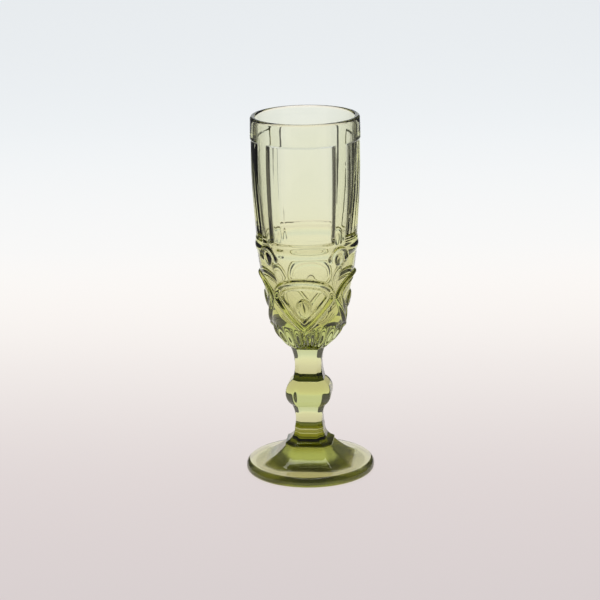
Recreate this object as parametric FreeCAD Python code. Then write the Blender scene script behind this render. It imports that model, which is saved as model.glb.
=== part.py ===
import FreeCAD, Part
import math
import os

from FreeCAD import Vector

# A pressed-glass champagne flute with four broad sides and four narrow ones between them.
# Millimetres, +Z up, origin at the centre of the plane that the foot rests on.
# The middle of one broad side faces -Y.

SIDES = 4
SIDE_ANGLE = 360.0 / SIDES
NARROW_SIDE_REACH = 1.15  # distance of a narrow side from the axis, over that of a broad side

# Height of each joint between two parts, from the table up
COLLAR_BASE = 15.5
LOWER_STEM_BASE = 25.0
KNOP_BASE = 38.0
UPPER_STEM_BASE = 52.5
BOWL_BASE = 71.0
RIM_TOP = 200.0

# Foot
FOOT_RADIUS = 35.6
FOOT_EDGE = 5.2
FOOT_EDGE_ROUNDING = 2.6
FOOT_RISE = 7.0
REST_RING_OUTER = 33.6
REST_RING_INNER = 30.2
UNDERSIDE_HOLLOW = 1.6
CONE_BASE = (25.5, 5.2)
CONE_WAIST = (18.5, 9.7)
CONE_TOP_RADIUS = 12.7

# Distance of the stem's broad sides from the axis, at the joints and between them as (distance, height)
COLLAR_RADIUS = 13.1
COLLAR_EDGE = 0.9
COLLAR_WAIST = (9.2, 20.0)
LOWER_STEM_FOOT = 8.0
LOWER_STEM_WAIST = (7.4, 30.0)
KNOP_FOOT = 9.2
KNOP_BULGE = (12.6, 45.0)
KNOP_HEAD = 8.7
UPPER_STEM_WAIST = (7.4, 60.0)
UPPER_STEM_HEAD = 9.2
BOWL_FOOT_RADIUS = 11.0

# Bowl: outside of the wall, from the stem to the lip, as (radius, height)
BOWL_OUTSIDE = [(15.2, 76.5), (21.0, 92.5), (25.6, 115.0), (28.4, 140.0), (30.0, 175.0)]
# Inside of the wall, from the rounded bottom to the lip
BOWL_INSIDE = [(13.4, 98.5), (17.2, 108.0), (21.6, 127.0), (24.6, 150.0), (26.2, 178.0)]
LIP_OUTER = 29.6
LIP_INNER = 26.7
WELL_RADIUS = 11.0
WELL_BOTTOM = 84.0
WELL_SLOPE = 26.6

# Panels: four shallow recesses with a pillar between each two. Their floors are rounder than the bowl,
# so they lie deepest next to the pillars.
PANEL_BASE = 134.0
PANEL_TOP = 187.5
PANEL_DEPTH = 0.35
PANEL_SHIFT = 3.6  # how far the middle of a floor's curve stands off the axis
PILLAR_ANGLE = 15.0

# Relief band: a moulding under the panels, on each broad side a shield with an oval in it, and on each
# pillar a boss under an arch and, in the hollow field between two shields, a drop.
# Ovals are (width, height) over 2.
RELIEF_HEIGHT = 1.5
MOULDING = (126.0, 132.5)
MOULDING_DEPTH = 0.6
SHIELD_TIP = 81.5
SHIELD_LOWER = (8.2, 90.5)
SHIELD_WIDEST = (16.6, 102.0)
SHIELD_UPPER = (15.6, 108.5)
SHIELD_SHOULDER = (11.0, 113.2)
SHIELD_TOP = 115.3
SHIELD_BORDER = 0.8
OVAL_HEIGHT = 98.0
OVAL_SIZE = (4.0, 5.5)
FIELD_DEPTH = 2.0
FIELD_BASE = 83.0
FIELD_BASE_RADIUS = 15.0
DROP_HEIGHT = 90.5
DROP_SIZE = (3.4, 6.0)
BOSS_HEIGHT = 125.5
BOSS_SIZE = (2.6, 3.9)
ARCH_RADIUS = 6.6
ARCH_THICKNESS = 1.8

REACH = 50.0


def point(radius, height):
    return Vector(radius, 0, height)


def line(start, end):
    return Part.LineSegment(start, end).toShape()


def arc(start, middle, end):
    return Part.Arc(start, middle, end).toShape()


def smooth_curve(points):
    curve = Part.BSplineCurve()
    curve.interpolate([point(*p) for p in points])
    return curve.toShape()


def mirrored(edge):
    return edge.mirror(Vector(0, 0, 0), Vector(1, 0, 0))


def turned(face):
    """The solid that an outline in the XZ plane makes by turning about the axis."""
    return face.revolve(Vector(0, 0, 0), Vector(0, 0, 1), 360)


def around(shape, count=SIDES, start=0.0):
    """Copies of a shape, evenly spaced about the axis."""
    copies = []
    for step in range(count):
        copy = shape.copy()
        copy.rotate(Vector(0, 0, 0), Vector(0, 0, 1), start + step * 360.0 / count)
        copies.append(copy)
    return copies


def closed_face(edges):
    return Part.Face(Part.Wire(Part.__sortEdges__(edges)))


def slab(half_edges, low, high, widening):
    """A slab through the axis whose two faces follow an outline, widened by a factor."""
    edges = [edge for half in half_edges for edge in (half, mirrored(half))]
    edges.append(line(point(-low[0], low[1]), point(*low)))
    edges.append(line(point(-high[0], high[1]), point(*high)))
    wider = FreeCAD.Matrix()
    wider.scale(widening, 1, 1)
    solid = closed_face(edges).transformGeometry(wider).extrude(Vector(0, 2 * REACH, 0))
    solid.translate(Vector(0, -REACH, 0))
    return solid


def faceted(half_edges, low, high):
    """A solid with four broad sides that follow an outline from a low to a high (distance, height),
    and four narrow sides that cut its corners."""
    broad = around(slab(half_edges, low, high, 1.0))
    narrow = around(slab(half_edges, low, high, NARROW_SIDE_REACH), start=SIDE_ANGLE / 2)
    solid = broad[0].common(broad[1])
    for other in narrow[: SIDES // 2]:
        solid = solid.common(other)
    return solid


def faceted_arc(low, middle, high):
    return faceted([arc(point(*low), point(*middle), point(*high))], low, high)


def make_upper_stem():
    low = (KNOP_HEAD, UPPER_STEM_BASE)
    return faceted_arc(low, UPPER_STEM_WAIST, (UPPER_STEM_HEAD, BOWL_BASE))


def make_knop():
    low = (KNOP_FOOT, KNOP_BASE)
    return faceted_arc(low, KNOP_BULGE, (KNOP_HEAD, UPPER_STEM_BASE))


def make_lower_stem():
    low = (LOWER_STEM_FOOT, LOWER_STEM_BASE)
    return faceted_arc(low, LOWER_STEM_WAIST, (KNOP_FOOT, KNOP_BASE))


def make_collar():
    low = (COLLAR_RADIUS, COLLAR_BASE)
    edge_top = (COLLAR_RADIUS, COLLAR_BASE + COLLAR_EDGE)
    high = (LOWER_STEM_FOOT, LOWER_STEM_BASE)
    edge = line(point(*low), point(*edge_top))
    skirt = arc(point(*edge_top), point(*COLLAR_WAIST), point(*high))
    return faceted([edge, skirt], low, high)


def rounded(centre_radius, centre_height, radius, start, end):
    """A convex arc in the XZ plane, between two directions in degrees from +X."""
    def at(degrees):
        turn = math.radians(degrees)
        return point(centre_radius + radius * math.cos(turn), centre_height + radius * math.sin(turn))

    return arc(at(start), at((start + end) / 2), at(end))


def hollow_height(radius):
    """Height of the foot's domed underside above the table."""
    return UNDERSIDE_HOLLOW * (1 - (radius / REST_RING_INNER) ** 2)


def make_foot():
    """A round disc with a rounded rim, hollowed a little underneath, with a faceted cone on it."""
    low_rounding = FOOT_RADIUS - REST_RING_OUTER
    top_start = (FOOT_RADIUS - FOOT_EDGE_ROUNDING, FOOT_EDGE - FOOT_EDGE_ROUNDING)
    half_way = REST_RING_INNER / 2
    disc_edges = [
        arc(point(0, hollow_height(0)), point(half_way, hollow_height(half_way)), point(REST_RING_INNER, 0)),
        line(point(REST_RING_INNER, 0), point(REST_RING_OUTER, 0)),
        rounded(REST_RING_OUTER, low_rounding, low_rounding, -90, 0),
        line(point(FOOT_RADIUS, low_rounding), point(FOOT_RADIUS, top_start[1])),
        rounded(*top_start, FOOT_EDGE_ROUNDING, 0, 90),
        line(point(top_start[0], FOOT_EDGE), point(0, FOOT_RISE)),
        line(point(0, FOOT_RISE), point(0, hollow_height(0))),
    ]
    cone = faceted_arc(CONE_BASE, CONE_WAIST, (CONE_TOP_RADIUS, COLLAR_BASE))
    return turned(closed_face(disc_edges)).fuse(cone).removeSplitter()


def bowl_wall_curve(offset):
    """The outside of the wall moved outwards, as an edge from its foot to the lip."""
    foot = (BOWL_FOOT_RADIUS, BOWL_BASE)
    lip = (LIP_OUTER, RIM_TOP - lip_radius())
    points = [foot] + BOWL_OUTSIDE + [lip]
    return smooth_curve([(radius + offset, height) for radius, height in points])


def lip_radius():
    return (LIP_OUTER - LIP_INNER) / 2


def make_blank(offset=0.0):
    """The bowl as a solid plug with a rounded lip, before it is hollowed."""
    lip_height = RIM_TOP - lip_radius()
    lip_middle = (LIP_OUTER + LIP_INNER) / 2
    outer_lip = point(LIP_OUTER + offset, lip_height)
    inner_lip = point(LIP_INNER - offset, lip_height)
    edges = [
        line(point(0, BOWL_BASE), point(BOWL_FOOT_RADIUS + offset, BOWL_BASE)),
        bowl_wall_curve(offset),
        arc(outer_lip, point(lip_middle, RIM_TOP + offset), inner_lip),
        line(inner_lip, point(0, lip_height)),
        line(point(0, lip_height), point(0, BOWL_BASE)),
    ]
    return turned(closed_face(edges))


def make_hollow():
    """The drinking space: a tapering well with a round bottom, open at the top."""
    slope = math.radians(WELL_SLOPE)
    centre = WELL_BOTTOM + WELL_RADIUS
    well_side = (WELL_RADIUS * math.cos(slope), centre - WELL_RADIUS * math.sin(slope))
    half_slope = math.pi / 4 + slope / 2
    well_middle = (WELL_RADIUS * math.cos(half_slope), centre - WELL_RADIUS * math.sin(half_slope))
    lip = (LIP_INNER, RIM_TOP - lip_radius())
    edges = [
        arc(point(0, WELL_BOTTOM), point(*well_middle), point(*well_side)),
        smooth_curve([well_side] + BOWL_INSIDE + [lip]),
        line(point(*lip), point(LIP_INNER, RIM_TOP + lip_radius())),
        line(point(LIP_INNER, RIM_TOP + lip_radius()), point(0, RIM_TOP + lip_radius())),
        line(point(0, RIM_TOP + lip_radius()), point(0, WELL_BOTTOM)),
    ]
    return turned(closed_face(edges))


def make_core(offset):
    """The inside of the outer wall moved inwards, as a plug with a flat top."""
    lip_height = RIM_TOP - lip_radius()
    edges = [
        line(point(0, BOWL_BASE), point(BOWL_FOOT_RADIUS - offset, BOWL_BASE)),
        bowl_wall_curve(-offset),
        line(point(LIP_OUTER - offset, lip_height), point(0, lip_height)),
        line(point(0, lip_height), point(0, BOWL_BASE)),
    ]
    return turned(closed_face(edges))


def make_recess():
    """The glass that the panel on the +X side takes away, between its two pillars."""
    height = PANEL_TOP - PANEL_BASE
    width = SIDE_ANGLE - PILLAR_ANGLE
    sector = Part.makeCylinder(REACH, height, point(0, PANEL_BASE), Vector(0, 0, 1), width)
    sector.rotate(Vector(0, 0, 0), Vector(0, 0, 1), -width / 2)
    core = make_core(PANEL_DEPTH + PANEL_SHIFT)
    core.translate(Vector(PANEL_SHIFT, 0, 0))
    return sector.cut(core)


def shield_edges(scale):
    """A shield's outline, pointed below, drawn in about its widest height by a scale."""
    middle = SHIELD_WIDEST[1]

    def at(across, height):
        return point(across * scale, middle + (height - middle) * scale)

    side = [
        arc(at(0, SHIELD_TIP), at(*SHIELD_LOWER), at(*SHIELD_WIDEST)),
        arc(at(*SHIELD_WIDEST), at(*SHIELD_UPPER), at(*SHIELD_SHOULDER)),
    ]
    top = arc(at(*SHIELD_SHOULDER), at(0, SHIELD_TOP), at(-SHIELD_SHOULDER[0], SHIELD_SHOULDER[1]))
    return side + [mirrored(edge) for edge in side] + [top]


def stamp(face):
    """An outline in the XZ plane pushed out through the wall on the -Y side."""
    return face.extrude(Vector(0, -REACH, 0))


def make_shield():
    return stamp(closed_face(shield_edges(1.0))).cut(stamp(closed_face(shield_edges(SHIELD_BORDER))))


def make_field():
    """The glass taken away between the shields, from a slanting base up to their widest height."""
    height = SHIELD_WIDEST[1] - FIELD_BASE
    field = Part.makeCone(FIELD_BASE_RADIUS, FIELD_BASE_RADIUS + height, height, point(0, FIELD_BASE))
    shields = Part.makeCompound(around(stamp(closed_face(shield_edges(1.0)))))
    return field.cut(make_core(FIELD_DEPTH)).cut(shields)


def oval_stamp(height, size):
    """An oval, with its size as half its width and half its height."""
    centre = point(0, height)
    across, up = centre + Vector(size[0], 0, 0), centre + Vector(0, 0, size[1])
    ends = (across, up) if size[0] > size[1] else (up, across)
    return stamp(closed_face([Part.Ellipse(*ends, centre).toShape()]))


def make_arch():
    """A half ring that stands over a boss."""
    inner = ARCH_RADIUS - ARCH_THICKNESS
    centre = BOSS_HEIGHT
    edges = [
        arc(point(ARCH_RADIUS, centre), point(0, centre + ARCH_RADIUS), point(-ARCH_RADIUS, centre)),
        arc(point(inner, centre), point(0, centre + inner), point(-inner, centre)),
        line(point(inner, centre), point(ARCH_RADIUS, centre)),
        line(point(-inner, centre), point(-ARCH_RADIUS, centre)),
    ]
    return stamp(closed_face(edges))


def make_relief():
    """The raised figures, standing RELIEF_HEIGHT out of the wall all round."""
    moulding = Part.makeCylinder(REACH, MOULDING[1] - MOULDING[0], point(0, MOULDING[0]))
    on_sides = [make_shield(), oval_stamp(OVAL_HEIGHT, OVAL_SIZE)]
    on_pillars = [oval_stamp(DROP_HEIGHT, DROP_SIZE), oval_stamp(BOSS_HEIGHT, BOSS_SIZE), make_arch()]
    figures = [copy for figure in on_sides for copy in around(figure)]
    figures += [copy for figure in on_pillars for copy in around(figure, start=SIDE_ANGLE / 2)]
    raised = make_blank(RELIEF_HEIGHT).common(Part.makeCompound(figures))
    return raised.fuse(make_blank(MOULDING_DEPTH).common(moulding))


def make_bowl():
    bowl = make_blank().cut(make_field()).fuse(make_relief())
    for recess in around(make_recess()):
        bowl = bowl.cut(recess)
    return bowl.cut(make_hollow())


def brim_capacity():
    """What the bowl holds when it is full to the lip, in millilitres."""
    return make_hollow().common(Part.makeCylinder(REACH, RIM_TOP)).Volume / 1000


def main():
    os.makedirs("parts", exist_ok=True)
    parts = {
        "bowl": make_bowl(),
        "upper_stem": make_upper_stem(),
        "knop": make_knop(),
        "lower_stem": make_lower_stem(),
        "collar": make_collar(),
        "foot": make_foot(),
    }
    for name, shape in parts.items():
        shape.exportStep(f"parts/{name}.step")
        print(f"{name}: {len(shape.Solids)} solid, valid {shape.isValid()}, {shape.Volume / 1000:.1f} ml")
    print(f"brim capacity {brim_capacity():.0f} ml")


main()
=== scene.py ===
import math

import bpy
import numpy as np
from mathutils import Matrix, Vector


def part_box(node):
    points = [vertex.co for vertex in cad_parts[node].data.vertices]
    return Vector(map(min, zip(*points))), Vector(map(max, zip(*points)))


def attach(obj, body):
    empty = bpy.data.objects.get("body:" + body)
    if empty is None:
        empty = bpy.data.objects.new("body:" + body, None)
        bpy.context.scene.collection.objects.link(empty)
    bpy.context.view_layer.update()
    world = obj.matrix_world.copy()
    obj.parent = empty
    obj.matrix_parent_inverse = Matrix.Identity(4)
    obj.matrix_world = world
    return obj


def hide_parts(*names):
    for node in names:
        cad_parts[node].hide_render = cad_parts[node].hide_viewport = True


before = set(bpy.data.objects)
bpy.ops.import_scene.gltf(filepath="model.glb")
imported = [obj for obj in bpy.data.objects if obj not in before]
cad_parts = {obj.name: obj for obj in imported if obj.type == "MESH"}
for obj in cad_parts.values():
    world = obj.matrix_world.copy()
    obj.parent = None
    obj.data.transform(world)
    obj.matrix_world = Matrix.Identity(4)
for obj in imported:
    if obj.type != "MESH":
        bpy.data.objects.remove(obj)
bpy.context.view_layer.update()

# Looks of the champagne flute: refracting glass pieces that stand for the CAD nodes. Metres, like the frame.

MM = 0.001
SIDES = 4
SECTOR = 2 * math.pi / SIDES
NARROW_SIDE_REACH = 1.15  # distance of a narrow side from the axis, over that of a broad side
MEAN_REACH = (1 + NARROW_SIDE_REACH) / 2
EDGE_SHARPNESS = 32.0

# Heights of the joints between parts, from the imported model
COLLAR_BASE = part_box("collar")[0].z
LOWER_STEM_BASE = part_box("lower_stem")[0].z
KNOP_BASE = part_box("knop")[0].z
UPPER_STEM_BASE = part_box("upper_stem")[0].z
BOWL_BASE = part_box("bowl")[0].z
RIM_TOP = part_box("bowl")[1].z
FOOT_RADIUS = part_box("foot")[1].x


def metres(points):
    """(radius, height) pairs in millimetres, as a list in metres."""
    return [(radius * MM, height * MM) for radius, height in points]


# Grid of each glass skin: points round the axis, and rows in each stretch of it
STEM_COLUMNS = 288
BOWL_COLUMNS = 384
CORNER_CROWDING = 0.45
SEAM_LAP = 0.02 * MM
UPPER_STEM_ROWS, KNOP_ROWS, LOWER_STEM_ROWS, COLLAR_ROWS = 60, 64, 50, 44
LEDGE_ROWS, LEDGE_EDGE_ROWS = 4, 5
UNDERSIDE_ROWS, REST_RING_ROWS, FOOT_TOP_ROWS = 26, 6, 80
FOOT_LOWER_EDGE_ROWS, FOOT_SIDE_ROWS, FOOT_UPPER_EDGE_ROWS = 9, 8, 11
LIP_ROWS, INNER_WALL_ROWS, WELL_ROWS = 17, 44, 12
SHIELD_ARC_POINTS = 24

# Foot
EDGE_HEIGHT = 5.2 * MM
EDGE_ROUNDING = 2.6 * MM
DISC_RISE = 7.0 * MM
REST_RING_OUTER = 33.6 * MM
REST_RING_INNER = 30.2 * MM
UNDERSIDE_HOLLOW = 1.6 * MM
UNDERSIDE_START = 0.2 * MM  # radius of the first row, round the middle of the hollow
CONE_TOP = 12.7 * MM
CONE = metres([(12.7, 15.5), (18.5, 9.7), (25.5, 5.2)])
CONE_RUN_OUT = 0.7 * MM  # how softly the cone flows into the disc
CONE_ROUNDING = (29.5 * MM, 8.0 * MM)  # where the cone's facets give way to the round disc, and its width

# Distance of the stem's broad sides from the axis, and waists and a bulge as (distance, height)
COLLAR_RADIUS = 13.1 * MM
COLLAR_EDGE = 0.9 * MM
COLLAR_ROUNDING = 0.3 * MM
LOWER_STEM_FOOT = 8.0 * MM
KNOP_FOOT = 9.2 * MM
KNOP_HEAD = 8.7 * MM
UPPER_STEM_HEAD = 9.2 * MM
COLLAR_WAIST, LOWER_STEM_WAIST, KNOP_BULGE, UPPER_STEM_WAIST = metres(
    [(9.2, 20.0), (7.4, 30.0), (12.6, 45.0), (7.4, 60.0)]
)

# Bowl walls, from the stem to the lip outside, and from the rounded bottom to the lip inside
BOWL_OUTSIDE = metres(
    [(10.2, 71.0), (15.2, 76.5), (21.0, 92.5), (25.6, 115.0), (28.4, 140.0), (30.0, 175.0), (29.6, 198.55)]
)
BOWL_INSIDE = metres(
    [(9.84, 90.07), (13.4, 98.5), (17.2, 108.0), (21.6, 127.0), (24.6, 150.0), (26.2, 178.0), (26.7, 198.55)]
)
BOWL_ROUND_FROM = 79.0 * MM  # the facets of the stem run out into the bowl up to here
BOWL_FLARE = 1 / 6  # the facets reach the bowl's outline within this part of that stretch
BOWL_FACETS_FADE = (0.5, 1.0)  # middle and width of their rounding, as parts of that stretch
WELL_RADIUS = 11.0 * MM
WELL_BOTTOM = 84.0 * MM
WELL_LAST_TURN = math.pi / 2 - 0.03  # the last row is just short of the pole

# Panels
PANEL_BASE = 134.0 * MM
PANEL_TOP = 187.5 * MM
PANEL_DEPTH = 0.45 * MM
PANEL_SIDE_DEPTH = 1.35 * MM
PANEL_SIDE = (0.45 * MM, 1.9 * MM)  # middle of the steep side, off the pillar's edge, and its width
PANEL_BASE_LEDGE = 1.3 * MM
PANEL_TOP_LEDGE = 1.2 * MM
PANEL_WAVES = 44  # faint upright waves round the panels
PANEL_WAVE_DEPTH = 0.035 * MM
PILLAR_HALF_ANGLE = math.radians(7.5)
# Rows of the bowl's outer wall, as (from, to, apart): close in the relief and at the panels' ledges
BOWL_STRETCHES = [
    (BOWL_BASE, PANEL_BASE + 2.0 * MM, 0.5 * MM),
    (PANEL_BASE + 2.6 * MM, PANEL_TOP - 2.0 * MM, 1.8 * MM),
    (PANEL_TOP - 1.0 * MM, PANEL_TOP + 1.0 * MM, 0.22 * MM),
    (PANEL_TOP + 1.8 * MM, RIM_TOP - 2.0 * MM, 1.2 * MM),
]

# Relief, as distances from the middle of a broad side or of a pillar, and heights
RELIEF_HEIGHT = 1.5 * MM
SHIELD_OUTLINE = [
    [(0.0, 81.5), (8.6, 90.5), (18.4, 102.0)],
    [(18.4, 102.0), (17.0, 108.5), (11.6, 113.2)],
    [(11.6, 113.2), (5.9, 114.8), (0.0, 115.3)],
]
# What follows the shield's outline: how far inside it, and half width
SHIELD_BORDER = (1.7 * MM, 1.9 * MM)
SHIELD_VALLEY = (4.0 * MM, 1.0 * MM)
SHIELD_LINE = (5.4 * MM, 0.9 * MM)
SHIELD_VALLEY_DEPTH, SHIELD_LINE_HEIGHT = 0.5 * MM, 0.5 * MM
# The hollow field between two shields
FIELD_DEPTH = 2.0 * MM
FIELD_SIDE = (0.8 * MM, 2.6 * MM)  # middle of its slanting side, off the shield's outline, and its width
FIELD_BASE, FIELD_TOP = 85.0 * MM, 102.0 * MM
FIELD_BASE_WIDTH, FIELD_TOP_WIDTH = 5.0 * MM, 2.0 * MM
MOULDING_HEIGHT, MOULDING_HALF_HEIGHT = 129.25 * MM, 3.6 * MM
MOULDING_DEPTH = 0.75 * MM
OVAL_HEIGHT, OVAL_SIZE = 98.0 * MM, (4.0 * MM, 5.5 * MM)
DROP_HEIGHT, DROP_SIZE = 90.5 * MM, (3.4 * MM, 6.0 * MM)
BOSS_HEIGHT, BOSS_SIZE = 125.5 * MM, (2.6 * MM, 3.9 * MM)
ARCH_RADIUS, ARCH_HALF_WIDTH = 5.7 * MM, 1.4 * MM
ARCH_ENDS = (BOSS_HEIGHT - 1.0 * MM, 3.0 * MM)  # height where the arch's legs run out, and over what width
FLUTES = 20
FLUTE_DEPTH = 1.1 * MM
FLUTE_RANGE = (72.0 * MM, 86.0 * MM)

# Glass
GLASS_SLOT, SEAM_SLOT = 0, 1
ABSORPTION_DENSITY = 57.0
ABSORPTION_COLOUR = (0.719, 0.746, 0.05, 1.0)
REFRACTIVE_INDEX = 1.52
WEAR_NOISE = (60.0, 3.0)  # scale and detail
WEAR_RANGE = (0.5, 0.8)
WEAR_ROUGHNESS = 0.035
STIPPLE_ROUGHNESS = 0.26  # the hollow under the foot is stippled by the mould
STIPPLE_TOP = UNDERSIDE_HOLLOW * 1.03
WAVE_NOISE = (110.0, 1.5)
WAVE_DEPTH = 0.05 * MM

# Stage: a table that sweeps up behind the glass
TURN = math.radians(6.0)  # the stage, the light and the camera are turned this far about the axis
STAGE_GAP = 0.15 * MM  # air between the glass and the table
SWEEP_HALF_WIDTH = 1.2
SWEEP_FLAT_END = 0.9
SWEEP_CURVE = 0.5
SWEEP_CURVE_START, SWEEP_CURVE_ROWS = 0.1, 16
SWEEP_TOP = 2.2
# Glow of the sweep against distance behind the glass, as (metres, linear colour)
SWEEP_GLOW = [
    (-1.2, (0.50, 0.46, 0.46)),
    (-0.7, (0.58, 0.53, 0.53)),
    (-0.2, (0.66, 0.60, 0.60)),
    (0.0, (0.70, 0.63, 0.625)),
    (0.2, (0.86, 0.815, 0.79)),
    (0.36, (0.935, 0.90, 0.87)),
    (0.5, (0.915, 0.91, 0.90)),
    (0.9, (0.84, 0.87, 0.89)),
    (1.2, (0.76, 0.79, 0.815)),
]
SWEEP_NEAR, SWEEP_FAR = SWEEP_GLOW[0][0], SWEEP_GLOW[-1][0]
# Half width of the glowing part level with the glass, and its growth per metre behind and in front of it
GLOW_HALF_WIDTH = 0.172
GLOW_SPREAD_BEHIND, GLOW_SPREAD_AHEAD = 0.131, 1.0
GLOW_EDGE = (1.0, 1.2)  # where the glow starts and ends its fade, over the half width
SIDE_GLOW = 0.08
PAINTED_SHADOW_TINT = (0.74, 0.72, 0.42, 1.0)  # painted shadow: the glow on the table under the foot is dimmed and tinted green, standing in for light that has come through the glass
PAINTED_SHADOW_EDGE = (FOOT_RADIUS * 0.75, FOOT_RADIUS * 1.03)
PAPER_COLOUR = (0.1, 0.1, 0.1, 1.0)
PAPER_ROUGHNESS = 0.9

# Light
ROOM_COLOUR = (0.5, 0.5, 0.5, 1.0)
ROOM_STRENGTH = 0.36
TOP_BOX_SIZE = (0.6, 0.6)
TOP_BOX_PLACE, TOP_BOX_TARGET = (0, 0.1, 1.2), (0, 0, 0.1)
TOP_BOX_POWER = 3

# Camera
LENS = 135.0
SENSOR_WIDTH = 36.0
CAMERA_PLACE = (0, -1.188, 0.429)
CAMERA_PITCH, CAMERA_YAW, CAMERA_ROLL = math.radians(15.62), math.radians(0.208), math.radians(-1.0)


# ---------------------------------------------------------------- shape helpers

def step(edge, width, value):
    """0 below the edge, 1 above it, smooth over the width."""
    t = np.clip((value - edge) / width + 0.5, 0, 1)
    return t * t * (3 - 2 * t)


def bump(distance, half_width):
    """A rounded ridge, 1 on its line and 0 past its half width."""
    t = np.clip(np.abs(distance) / half_width, 0, 1)
    return (1 - t * t) ** 2


def dome(across, up, size):
    """A raised oval, 1 at its centre and 0 at its edge."""
    reach = np.hypot(across / size[0], up / size[1])
    return np.sqrt(np.maximum(1 - reach * reach, 0))


def circle_through(low, middle, high):
    """Centre and radius of the circle through three points."""
    (x1, y1), (x2, y2), (x3, y3) = low, middle, high
    d = 2 * (x1 * (y2 - y3) + x2 * (y3 - y1) + x3 * (y1 - y2))
    s1, s2, s3 = x1 * x1 + y1 * y1, x2 * x2 + y2 * y2, x3 * x3 + y3 * y3
    cx = (s1 * (y2 - y3) + s2 * (y3 - y1) + s3 * (y1 - y2)) / d
    cy = (s1 * (x3 - x2) + s2 * (x1 - x3) + s3 * (x2 - x1)) / d
    return cx, cy, math.hypot(x1 - cx, y1 - cy)


def arc_radius(low, middle, high, z):
    """Radius at height z on the arc through three (radius, height) points."""
    cx, cy, r = circle_through(low, middle, high)
    side = 1 if middle[0] > cx else -1
    return cx + side * np.sqrt(np.maximum(r * r - (z - cy) ** 2, 0))


def arc_points(low, middle, high, count):
    """Points along the arc through three points."""
    cx, cy, r = circle_through(low, middle, high)
    start = math.atan2(low[1] - cy, low[0] - cx)
    end = math.atan2(high[1] - cy, high[0] - cx)
    span = (end - start + math.pi) % (2 * math.pi) - math.pi
    turn = start + span * np.linspace(0, 1, count)
    return np.stack([cx + r * np.cos(turn), cy + r * np.sin(turn)], axis=1)


def spline_radius(points, z):
    """Radius at height z on a natural cubic spline through (radius, height) points."""
    r = np.array([p[0] for p in points])
    h = np.array([p[1] for p in points])
    n = len(h)
    gap = np.diff(h)
    a = np.eye(n)
    b = np.zeros(n)
    for i in range(1, n - 1):
        a[i, i - 1:i + 2] = gap[i - 1], 2 * (gap[i - 1] + gap[i]), gap[i]
        b[i] = 6 * ((r[i + 1] - r[i]) / gap[i] - (r[i] - r[i - 1]) / gap[i - 1])
    m = np.linalg.solve(a, b)
    i = np.clip(np.searchsorted(h, z) - 1, 0, n - 2)
    lo, hi = (h[i + 1] - z) / gap[i], (z - h[i]) / gap[i]
    bend = ((lo ** 3 - lo) * m[i] + (hi ** 3 - hi) * m[i + 1]) * gap[i] ** 2 / 6
    return float(lo * r[i] + hi * r[i + 1] + bend)


def distance_to(path, x, y):
    """Distance from each (x, y) to a path of points."""
    best = np.full(np.broadcast(x, y).shape, np.inf)
    for (ax, ay), (bx, by) in zip(path[:-1], path[1:]):
        dx, dy = bx - ax, by - ay
        length = dx * dx + dy * dy
        if length > 0:
            t = np.clip(((x - ax) * dx + (y - ay) * dy) / length, 0, 1)
            best = np.minimum(best, np.hypot(x - ax - t * dx, y - ay - t * dy))
    return best


def angles(columns):
    """Column angles round the axis, crowded towards the narrow sides."""
    even = np.arange(columns) * 2 * math.pi / columns
    return even + CORNER_CROWDING / SIDES * np.sin(SIDES * even)


def faceted(phi, distance, roundness=0.0):
    """Radius at angle phi of a section with broad and narrow sides, or part way to a circle."""
    total = np.zeros(np.broadcast(phi, distance).shape)
    for k in range(SIDES):
        broad = np.maximum(np.cos(phi - k * SECTOR), 0)
        narrow = np.maximum(np.cos(phi - (k + 0.5) * SECTOR), 0) / NARROW_SIDE_REACH
        total = total + broad ** EDGE_SHARPNESS + narrow ** EDGE_SHARPNESS
    facets = distance / total ** (1 / EDGE_SHARPNESS)
    return facets + (distance * MEAN_REACH - facets) * roundness


def off_side(phi):
    """Angle from the middle of the nearest broad side."""
    return (phi + SECTOR / 2) % SECTOR - SECTOR / 2


def off_pillar(phi):
    """Angle from the middle of the nearest pillar."""
    return phi % SECTOR - SECTOR / 2


# ---------------------------------------------------------------- skins

def ring(phi, radius, height):
    """One closed row of points; radius and height may vary round the axis."""
    radius, height = np.broadcast_to(radius, phi.shape), np.broadcast_to(height, phi.shape)
    return np.stack([radius * np.cos(phi), radius * np.sin(phi), height], axis=1)


def quarter_turn(rows):
    """Angles of a rounding's rows, after the row that it starts from."""
    return np.linspace(0, math.pi / 2, rows)[1:]


def wall_faces(rows, columns):
    """The four-cornered faces between the rows."""
    faces = []
    for a in range(0, (rows - 1) * columns, columns):
        b = a + columns
        for i in range(columns):
            k = (i + 1) % columns
            faces.append((a + i, a + k, b + k, b + i))
    return faces


def add_object(name, data):
    thing = bpy.data.objects.new(name, data)
    bpy.context.scene.collection.objects.link(thing)
    return thing


def smooth_mesh(name, points, faces):
    mesh = bpy.data.meshes.new(name)
    mesh.from_pydata(points, [], faces)
    mesh.polygons.foreach_set("use_smooth", [True] * len(faces))
    return mesh


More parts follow.
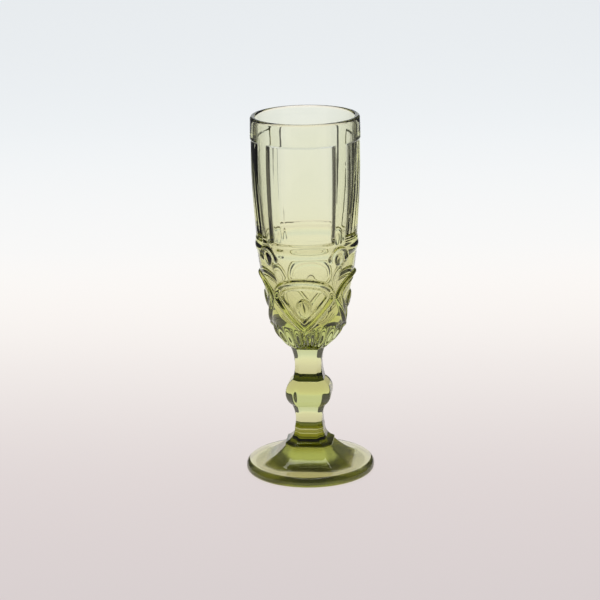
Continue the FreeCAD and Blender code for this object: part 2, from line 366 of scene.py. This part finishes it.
def skin(name, rings, start, end):
    """A closed glass skin through rows of points. Each end is a 'seam' cap or a 'pole' point."""
    columns = len(rings[0])
    points = [tuple(p) for row in rings for p in row]
    faces = wall_faces(len(rings), columns)
    slots = [GLASS_SLOT] * len(faces)
    seam_edges = set()
    for row, kind, flip in ((0, start, True), (len(rings) - 1, end, False)):
        loop = [row * columns + i for i in range(columns)]
        pairs = list(zip(loop, loop[1:] + loop[:1]))
        if kind == "pole":
            tip = len(points)
            points.append(tuple(rings[row].mean(axis=0)))
            faces += [(b, a, tip) if flip else (a, b, tip) for a, b in pairs]
            slots += [GLASS_SLOT] * columns
        else:
            faces.append(tuple(reversed(loop)) if flip else tuple(loop))
            slots.append(SEAM_SLOT)
            seam_edges.update(frozenset(pair) for pair in pairs)
    mesh = smooth_mesh(name, points, faces)
    mesh.polygons.foreach_set("material_index", slots)
    sharp = [frozenset(edge.vertices) in seam_edges for edge in mesh.edges]
    mesh.attributes.new("sharp_edge", "BOOLEAN", "EDGE").data.foreach_set("value", sharp)
    mesh.update()
    return add_object(name, mesh)


def lapped(rings, start=True, end=True):
    """The rows with their seam ends moved out, so that neighbours share a hair of glass."""
    if start:
        rings[0][:, 2] -= SEAM_LAP / 2
    if end:
        rings[-1][:, 2] += SEAM_LAP / 2
    return rings


def arc_rings(low, middle, high, rows):
    """Rows of a faceted stretch whose broad sides follow an arc."""
    phi = angles(STEM_COLUMNS)
    heights = np.linspace(low[1], high[1], rows)
    return [ring(phi, faceted(phi, arc_radius(low, middle, high, z)), z) for z in heights]


def make_upper_stem():
    low, high = (KNOP_HEAD, UPPER_STEM_BASE), (UPPER_STEM_HEAD, BOWL_BASE)
    rings = arc_rings(low, UPPER_STEM_WAIST, high, UPPER_STEM_ROWS)
    return skin("upper_stem_glass", lapped(rings), "seam", "seam")


def make_knop():
    low, high = (KNOP_FOOT, KNOP_BASE), (KNOP_HEAD, UPPER_STEM_BASE)
    rings = arc_rings(low, KNOP_BULGE, high, KNOP_ROWS)
    return skin("knop_glass", lapped(rings), "seam", "seam")


def make_lower_stem():
    low, high = (LOWER_STEM_FOOT, LOWER_STEM_BASE), (KNOP_FOOT, KNOP_BASE)
    rings = arc_rings(low, LOWER_STEM_WAIST, high, LOWER_STEM_ROWS)
    return skin("lower_stem_glass", lapped(rings), "seam", "seam")


def make_collar():
    """The flared step; its underside shows as a narrow ledge round the foot's cone."""
    phi = angles(STEM_COLUMNS)
    rings = []
    for distance in np.linspace(CONE_TOP, COLLAR_RADIUS - COLLAR_ROUNDING, LEDGE_ROWS):
        rings.append(ring(phi, faceted(phi, distance), COLLAR_BASE))
    for turn in quarter_turn(LEDGE_EDGE_ROWS):
        distance = COLLAR_RADIUS - COLLAR_ROUNDING * (1 - math.sin(turn))
        rings.append(ring(phi, faceted(phi, distance), COLLAR_BASE + COLLAR_ROUNDING * (1 - math.cos(turn))))
    low, high = (COLLAR_RADIUS, COLLAR_BASE + COLLAR_EDGE), (LOWER_STEM_FOOT, LOWER_STEM_BASE)
    rings += arc_rings(low, COLLAR_WAIST, high, COLLAR_ROWS)
    return skin("collar_glass", lapped(rings), "seam", "seam")


# ---------------------------------------------------------------- foot

def foot_top(reach):
    """Height of the foot's upper face at a distance: the cone running out into the disc."""
    (x1, y1), (x2, y2), (x3, y3) = CONE
    cone = arc_radius((y3, x3), (y2, x2), (y1, x1), np.minimum(reach, x3))
    disc = EDGE_HEIGHT + (DISC_RISE - EDGE_HEIGHT) * (1 - reach / (FOOT_RADIUS - EDGE_ROUNDING))
    return float(CONE_RUN_OUT * np.logaddexp(cone / CONE_RUN_OUT, disc / CONE_RUN_OUT))


def foot_underside(phi):
    """Rows of the hollow underside and of the ring that the foot rests on."""
    rings = []
    for reach in np.linspace(UNDERSIDE_START, REST_RING_INNER, UNDERSIDE_ROWS):
        rings.append(ring(phi, reach, UNDERSIDE_HOLLOW * (1 - (reach / REST_RING_INNER) ** 2)))
    for reach in np.linspace(REST_RING_INNER, REST_RING_OUTER, REST_RING_ROWS)[1:]:
        rings.append(ring(phi, reach, 0))
    return rings


def foot_rim(phi):
    """Rows of the upright edge, from the resting ring to the upper face."""
    low, high = FOOT_RADIUS - REST_RING_OUTER, EDGE_HEIGHT - EDGE_ROUNDING
    rings = []
    for turn in quarter_turn(FOOT_LOWER_EDGE_ROWS):
        rings.append(ring(phi, REST_RING_OUTER + low * math.sin(turn), low * (1 - math.cos(turn))))
    for z in np.linspace(low, high, FOOT_SIDE_ROWS)[1:]:
        rings.append(ring(phi, FOOT_RADIUS, z))
    top = foot_top(FOOT_RADIUS - EDGE_ROUNDING)
    for turn in quarter_turn(FOOT_UPPER_EDGE_ROWS):
        reach = FOOT_RADIUS - EDGE_ROUNDING * (1 - math.cos(turn))
        rings.append(ring(phi, reach, high + (top - high) * math.sin(turn)))
    return rings


def make_foot():
    phi = angles(STEM_COLUMNS)
    rings = foot_underside(phi) + foot_rim(phi)
    for distance in np.linspace(FOOT_RADIUS - EDGE_ROUNDING, CONE_TOP, FOOT_TOP_ROWS)[1:]:
        roundness = float(step(*CONE_ROUNDING, distance))
        circle_scale = 1 - roundness * (1 - 1 / MEAN_REACH)
        rings.append(ring(phi, faceted(phi, distance, roundness) * circle_scale, foot_top(distance)))
    rings[-1] = ring(phi, faceted(phi, CONE_TOP), COLLAR_BASE)
    return skin("foot_glass", lapped(rings, start=False), "pole", "seam")


# ---------------------------------------------------------------- bowl

SHIELD_PATH = np.concatenate([arc_points(*metres(part), SHIELD_ARC_POINTS) for part in SHIELD_OUTLINE])


def shield_half_width(z):
    order = np.argsort(SHIELD_PATH[:, 1])
    return np.interp(z, SHIELD_PATH[order, 1], SHIELD_PATH[order, 0], left=0, right=0)


def panel_depth(phi, z, radius):
    """How deep the panels lie: deepest next to the pillars, with a steep side, and shallow in the middle."""
    upright = step(PANEL_BASE, PANEL_BASE_LEDGE, z) * step(-PANEL_TOP, PANEL_TOP_LEDGE, -z)
    beside = (np.abs(off_pillar(phi)) - PILLAR_HALF_ANGLE) * radius
    middle = (SECTOR / 2 - PILLAR_HALF_ANGLE) * radius
    slope = np.clip(1 - beside / middle, 0, 1) ** 2
    floor = PANEL_DEPTH + (PANEL_SIDE_DEPTH - PANEL_DEPTH) * slope
    waves = PANEL_WAVE_DEPTH * np.cos(PANEL_WAVES * phi)
    return (floor + waves) * upright * step(*PANEL_SIDE, beside)


def along_outline(depth, line):
    """A ridge that follows the shield's outline, some way inside it."""
    inside, half_width = line
    return bump(depth - inside, half_width)


def shield_relief(across, z):
    """A bordered shield with a second line inside, above a hollow field with slanting sides."""
    edge = distance_to(SHIELD_PATH, across, z)
    depth = np.where(across < shield_half_width(z), edge, -edge)
    border = RELIEF_HEIGHT * along_outline(depth, SHIELD_BORDER)
    inner_line = SHIELD_LINE_HEIGHT * along_outline(depth, SHIELD_LINE)
    valley = SHIELD_VALLEY_DEPTH * along_outline(depth, SHIELD_VALLEY)
    upright = step(FIELD_BASE, FIELD_BASE_WIDTH, z) * step(-FIELD_TOP, FIELD_TOP_WIDTH, -z)
    field = FIELD_DEPTH * step(*FIELD_SIDE, -depth) * upright
    return np.maximum(border, inner_line) - valley - field


def flutes(phi, z):
    """Soft upright waves round the bottom of the bowl."""
    low, high = FLUTE_RANGE
    along = np.clip((z - low) / (high - low), 0, 1)
    return FLUTE_DEPTH * math.sin(math.pi * float(along)) * np.cos(FLUTES * phi)


def relief(phi, z, radius):
    """How far the wall stands out of, or in from, its plain outline."""
    across = np.abs(off_side(phi)) * radius
    beside = np.abs(off_pillar(phi)) * radius
    oval = RELIEF_HEIGHT * dome(across, z - OVAL_HEIGHT, OVAL_SIZE)
    drop = RELIEF_HEIGHT * dome(beside, z - DROP_HEIGHT, DROP_SIZE)
    boss = RELIEF_HEIGHT * dome(beside, z - BOSS_HEIGHT, BOSS_SIZE)
    arch = RELIEF_HEIGHT * bump(np.hypot(beside, z - BOSS_HEIGHT) - ARCH_RADIUS, ARCH_HALF_WIDTH)
    arch = arch * step(*ARCH_ENDS, z)
    moulding = MOULDING_DEPTH * bump(z - MOULDING_HEIGHT, MOULDING_HALF_HEIGHT)
    raised = np.maximum.reduce([oval, boss, arch, shield_relief(across, z) + drop])
    return np.maximum(raised, moulding) - panel_depth(phi, z, radius) + flutes(phi, z)


def bowl_foot_radius(phi, z, radius):
    """Radius of the bowl's foot, where the facets of the stem run out into the round."""
    along = (z - BOWL_BASE) / (BOWL_ROUND_FROM - BOWL_BASE)
    distance = UPPER_STEM_HEAD + (radius / MEAN_REACH - UPPER_STEM_HEAD) * min(1, along / BOWL_FLARE)
    return faceted(phi, distance, float(step(*BOWL_FACETS_FADE, along))) + flutes(phi, z)


def bowl_outer(phi):
    """Rows of the outer wall, from the stem to below the lip."""
    rings = []
    for z in np.concatenate([np.arange(*stretch) for stretch in BOWL_STRETCHES]):
        radius = spline_radius(BOWL_OUTSIDE, z)
        if z < BOWL_ROUND_FROM:
            rings.append(ring(phi, bowl_foot_radius(phi, z, radius), z))
        else:
            rings.append(ring(phi, radius + relief(phi, z, radius), z))
    return rings


def bowl_lip(phi):
    """Rows over the rounded lip, from the outer wall to the inner one, and the height that they start at."""
    outer, inner = BOWL_OUTSIDE[-1][0], BOWL_INSIDE[-1][0]
    half_width, middle = (outer - inner) / 2, (outer + inner) / 2
    base = RIM_TOP - half_width
    rings = []
    for turn in np.linspace(0, math.pi, LIP_ROWS):
        rings.append(ring(phi, middle + half_width * math.cos(turn), base + half_width * math.sin(turn)))
    return rings, base


def bowl_inner(phi, top):
    """Rows of the inner wall, down to the rounded bottom of the well."""
    low = BOWL_INSIDE[0][1]
    rings = []
    for z in np.linspace(top, low, INNER_WALL_ROWS)[1:]:
        rings.append(ring(phi, spline_radius(BOWL_INSIDE, z), z))
    first_turn = math.asin((WELL_BOTTOM + WELL_RADIUS - low) / WELL_RADIUS)
    for turn in np.linspace(first_turn, WELL_LAST_TURN, WELL_ROWS)[1:]:
        height = WELL_BOTTOM + WELL_RADIUS * (1 - math.sin(turn))
        rings.append(ring(phi, WELL_RADIUS * math.cos(turn), height))
    return rings


def make_bowl():
    phi = angles(BOWL_COLUMNS)
    lip_rings, lip_base = bowl_lip(phi)
    rings = bowl_outer(phi) + lip_rings + bowl_inner(phi, lip_base)
    return skin("bowl_glass", lapped(rings, end=False), "seam", "pole")


# ---------------------------------------------------------------- material nodes

def new_material(name):
    material = bpy.data.materials.new(name)
    material.use_nodes = True
    return material, material.node_tree


def math_node(tree, operation, *values):
    node = tree.nodes.new("ShaderNodeMath")
    node.operation = operation
    for socket, value in zip(node.inputs, values):
        if isinstance(value, (int, float)):
            socket.default_value = value
        else:
            tree.links.new(value, socket)
    return node.outputs[0]


def map_range(tree, value, source, target, kind="LINEAR"):
    """The value, taken from the source range to the target range and held at their ends."""
    node = tree.nodes.new("ShaderNodeMapRange")
    node.interpolation_type = kind
    for name, number in zip(("From Min", "From Max", "To Min", "To Max"), (*source, *target)):
        node.inputs[name].default_value = number
    tree.links.new(value, node.inputs["Value"])
    return node.outputs[0]


def object_place(tree):
    """Object coordinates, one by one, and the distance from the object's origin."""
    place = tree.nodes.new("ShaderNodeTexCoord")
    split = tree.nodes.new("ShaderNodeSeparateXYZ")
    reach = tree.nodes.new("ShaderNodeVectorMath")
    reach.operation = "LENGTH"
    for node in (split, reach):
        tree.links.new(place.outputs["Object"], node.inputs[0])
    return split.outputs, reach.outputs["Value"]


def noise(tree, scale, detail):
    place = tree.nodes.new("ShaderNodeTexCoord")
    texture = tree.nodes.new("ShaderNodeTexNoise")
    texture.inputs["Scale"].default_value = scale
    texture.inputs["Detail"].default_value = detail
    tree.links.new(place.outputs["Object"], texture.inputs["Vector"])
    return texture.outputs["Fac"]


def absorb(tree):
    """The colour of the glass, which deepens with the distance that light goes through it."""
    volume = tree.nodes.new("ShaderNodeVolumeAbsorption")
    volume.inputs["Color"].default_value = ABSORPTION_COLOUR
    volume.inputs["Density"].default_value = ABSORPTION_DENSITY
    tree.links.new(volume.outputs[0], tree.nodes["Material Output"].inputs["Volume"])


# ---------------------------------------------------------------- glass

def glass_roughness(tree):
    """Faint haze where the glass is worn, and the stipple in the hollow under the foot."""
    wear = map_range(tree, noise(tree, *WEAR_NOISE), WEAR_RANGE, (0.0, WEAR_ROUGHNESS))
    place, reach = object_place(tree)
    low = math_node(tree, "LESS_THAN", place["Z"], STIPPLE_TOP)
    inner = math_node(tree, "LESS_THAN", reach, REST_RING_INNER)
    underneath = math_node(tree, "MULTIPLY", low, inner)
    return math_node(tree, "MAXIMUM", wear, math_node(tree, "MULTIPLY", underneath, STIPPLE_ROUGHNESS))


def make_glass():
    """Pressed glass: clear and coloured, and slightly wavy from the mould."""
    material, tree = new_material("green_glass")
    waves = tree.nodes.new("ShaderNodeBump")
    waves.inputs["Distance"].default_value = WAVE_DEPTH
    waves.inputs["Strength"].default_value = 1.0
    tree.links.new(noise(tree, *WAVE_NOISE), waves.inputs["Height"])
    principled = tree.nodes["Principled BSDF"]
    principled.inputs["Base Color"].default_value = (1, 1, 1, 1)
    principled.inputs["IOR"].default_value = REFRACTIVE_INDEX
    principled.inputs["Transmission Weight"].default_value = 1.0
    tree.links.new(glass_roughness(tree), principled.inputs["Roughness"])
    tree.links.new(waves.outputs[0], principled.inputs["Normal"])
    absorb(tree)
    return material


def make_seam():
    """Inside the joints the glass runs on with no surface, so only its colour acts there."""
    material, tree = new_material("glass_seam")
    tree.nodes.remove(tree.nodes["Principled BSDF"])
    clear = tree.nodes.new("ShaderNodeBsdfTransparent")
    tree.links.new(clear.outputs[0], tree.nodes["Material Output"].inputs["Surface"])
    absorb(tree)
    return material


# ---------------------------------------------------------------- stage, light and camera

def sweep_colour(tree, distance):
    """Colour of the glow, from the distance behind the glass."""
    ramp = tree.nodes.new("ShaderNodeValToRGB")
    ramp.color_ramp.interpolation = "B_SPLINE"
    stops = ramp.color_ramp.elements
    for i, (place, colour) in enumerate(SWEEP_GLOW):
        where = (place - SWEEP_NEAR) / (SWEEP_FAR - SWEEP_NEAR)
        stop = stops[i] if i < len(stops) else stops.new(where)
        stop.position = where
        stop.color = (*colour, 1)
    tree.links.new(map_range(tree, distance, (SWEEP_NEAR, SWEEP_FAR), (0.0, 1.0)), ramp.inputs[0])
    return ramp.outputs[0]


def sweep_strength(tree, place):
    """Strength of the glow: full inside a strip that widens both ways from the glass, and low outside it."""
    behind = math_node(tree, "MULTIPLY", place["Y"], GLOW_SPREAD_BEHIND)
    ahead = math_node(tree, "MULTIPLY", place["Y"], -GLOW_SPREAD_AHEAD)
    half_width = math_node(tree, "ADD", math_node(tree, "MAXIMUM", behind, ahead), GLOW_HALF_WIDTH)
    aside = math_node(tree, "DIVIDE", math_node(tree, "ABSOLUTE", place["X"]), half_width)
    return map_range(tree, aside, GLOW_EDGE, (1.0, SIDE_GLOW), "SMOOTHSTEP")


def make_sweep_paper():
    """Back-lit paper, which glows by itself, with a painted green shadow of the glass under the foot."""
    material, tree = new_material("sweep_paper")
    place, reach = object_place(tree)
    # painted shadow: under the foot the glow is multiplied by a dim green, as if the glass shaded the table
    painted_shadow_mask = map_range(tree, reach, PAINTED_SHADOW_EDGE, (1.0, 0.0), "SMOOTHSTEP")
    shadowed_glow = tree.nodes.new("ShaderNodeMix")
    shadowed_glow.data_type = "RGBA"
    shadowed_glow.blend_type = "MULTIPLY"
    shadowed_glow.inputs["B"].default_value = PAINTED_SHADOW_TINT
    tree.links.new(painted_shadow_mask, shadowed_glow.inputs["Factor"])
    tree.links.new(sweep_colour(tree, place["Y"]), shadowed_glow.inputs["A"])
    principled = tree.nodes["Principled BSDF"]
    principled.inputs["Base Color"].default_value = PAPER_COLOUR
    principled.inputs["Roughness"].default_value = PAPER_ROUGHNESS
    principled.inputs["Specular IOR Level"].default_value = 0.0
    tree.links.new(shadowed_glow.outputs["Result"], principled.inputs["Emission Color"])
    tree.links.new(sweep_strength(tree, place), principled.inputs["Emission Strength"])
    return material


def make_stage():
    """A pale table that sweeps up behind the glass."""
    rows = [(SWEEP_NEAR, 0.0), (SWEEP_FLAT_END, 0.0)]
    for turn in np.linspace(SWEEP_CURVE_START, math.pi / 2, SWEEP_CURVE_ROWS):
        rows.append((SWEEP_FLAT_END + SWEEP_CURVE * math.sin(turn), SWEEP_CURVE * (1 - math.cos(turn))))
    rows.append((SWEEP_FLAT_END + SWEEP_CURVE, SWEEP_TOP))
    points = [(side * SWEEP_HALF_WIDTH, y, z) for y, z in rows for side in (-1, 1)]
    faces = [(2 * i, 2 * i + 1, 2 * i + 3, 2 * i + 2) for i in range(len(rows) - 1)]
    mesh = smooth_mesh("sweep", points, faces)
    mesh.materials.append(make_sweep_paper())
    sweep = add_object("sweep", mesh)
    sweep.location = (0, 0, -STAGE_GAP)
    sweep.rotation_euler = (0, 0, TURN)


def make_light():
    """An even grey room with one soft box above."""
    world = bpy.data.worlds.new("room")
    bpy.context.scene.world = world
    world.use_nodes = True
    background = world.node_tree.nodes["Background"]
    background.inputs["Color"].default_value = ROOM_COLOUR
    background.inputs["Strength"].default_value = ROOM_STRENGTH
    light = bpy.data.lights.new("top_box", "AREA")
    light.shape = "RECTANGLE"
    light.size, light.size_y = TOP_BOX_SIZE
    light.energy = TOP_BOX_POWER
    lamp = add_object("top_box", light)
    turn = Matrix.Rotation(TURN, 3, "Z")
    lamp.location = turn @ Vector(TOP_BOX_PLACE)
    direction = turn @ (Vector(TOP_BOX_TARGET) - Vector(TOP_BOX_PLACE))
    lamp.rotation_euler = direction.to_track_quat("-Z", "Y").to_euler()
    bpy.context.scene.view_settings.view_transform = "Standard"


def make_camera():
    data = bpy.data.cameras.new("camera")
    data.lens = LENS
    data.sensor_width = SENSOR_WIDTH
    camera = add_object("camera", data)
    camera.location = Matrix.Rotation(TURN, 3, "Z") @ Vector(CAMERA_PLACE)
    look = Matrix.Rotation(TURN + CAMERA_YAW, 3, "Z") @ Matrix.Rotation(math.pi / 2 - CAMERA_PITCH, 3, "X")
    camera.rotation_euler = (look @ Matrix.Rotation(CAMERA_ROLL, 3, "Z")).to_euler()
    bpy.context.scene.camera = camera


def main():
    glass, seam = make_glass(), make_seam()
    makers = {
        "bowl": make_bowl,
        "upper_stem": make_upper_stem,
        "knop": make_knop,
        "lower_stem": make_lower_stem,
        "collar": make_collar,
        "foot": make_foot,
    }
    for node, make in makers.items():
        piece = make()
        piece.data.materials.append(glass)
        piece.data.materials.append(seam)
        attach(piece, "root")
        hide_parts(node)
    make_stage()
    make_light()
    make_camera()


main()
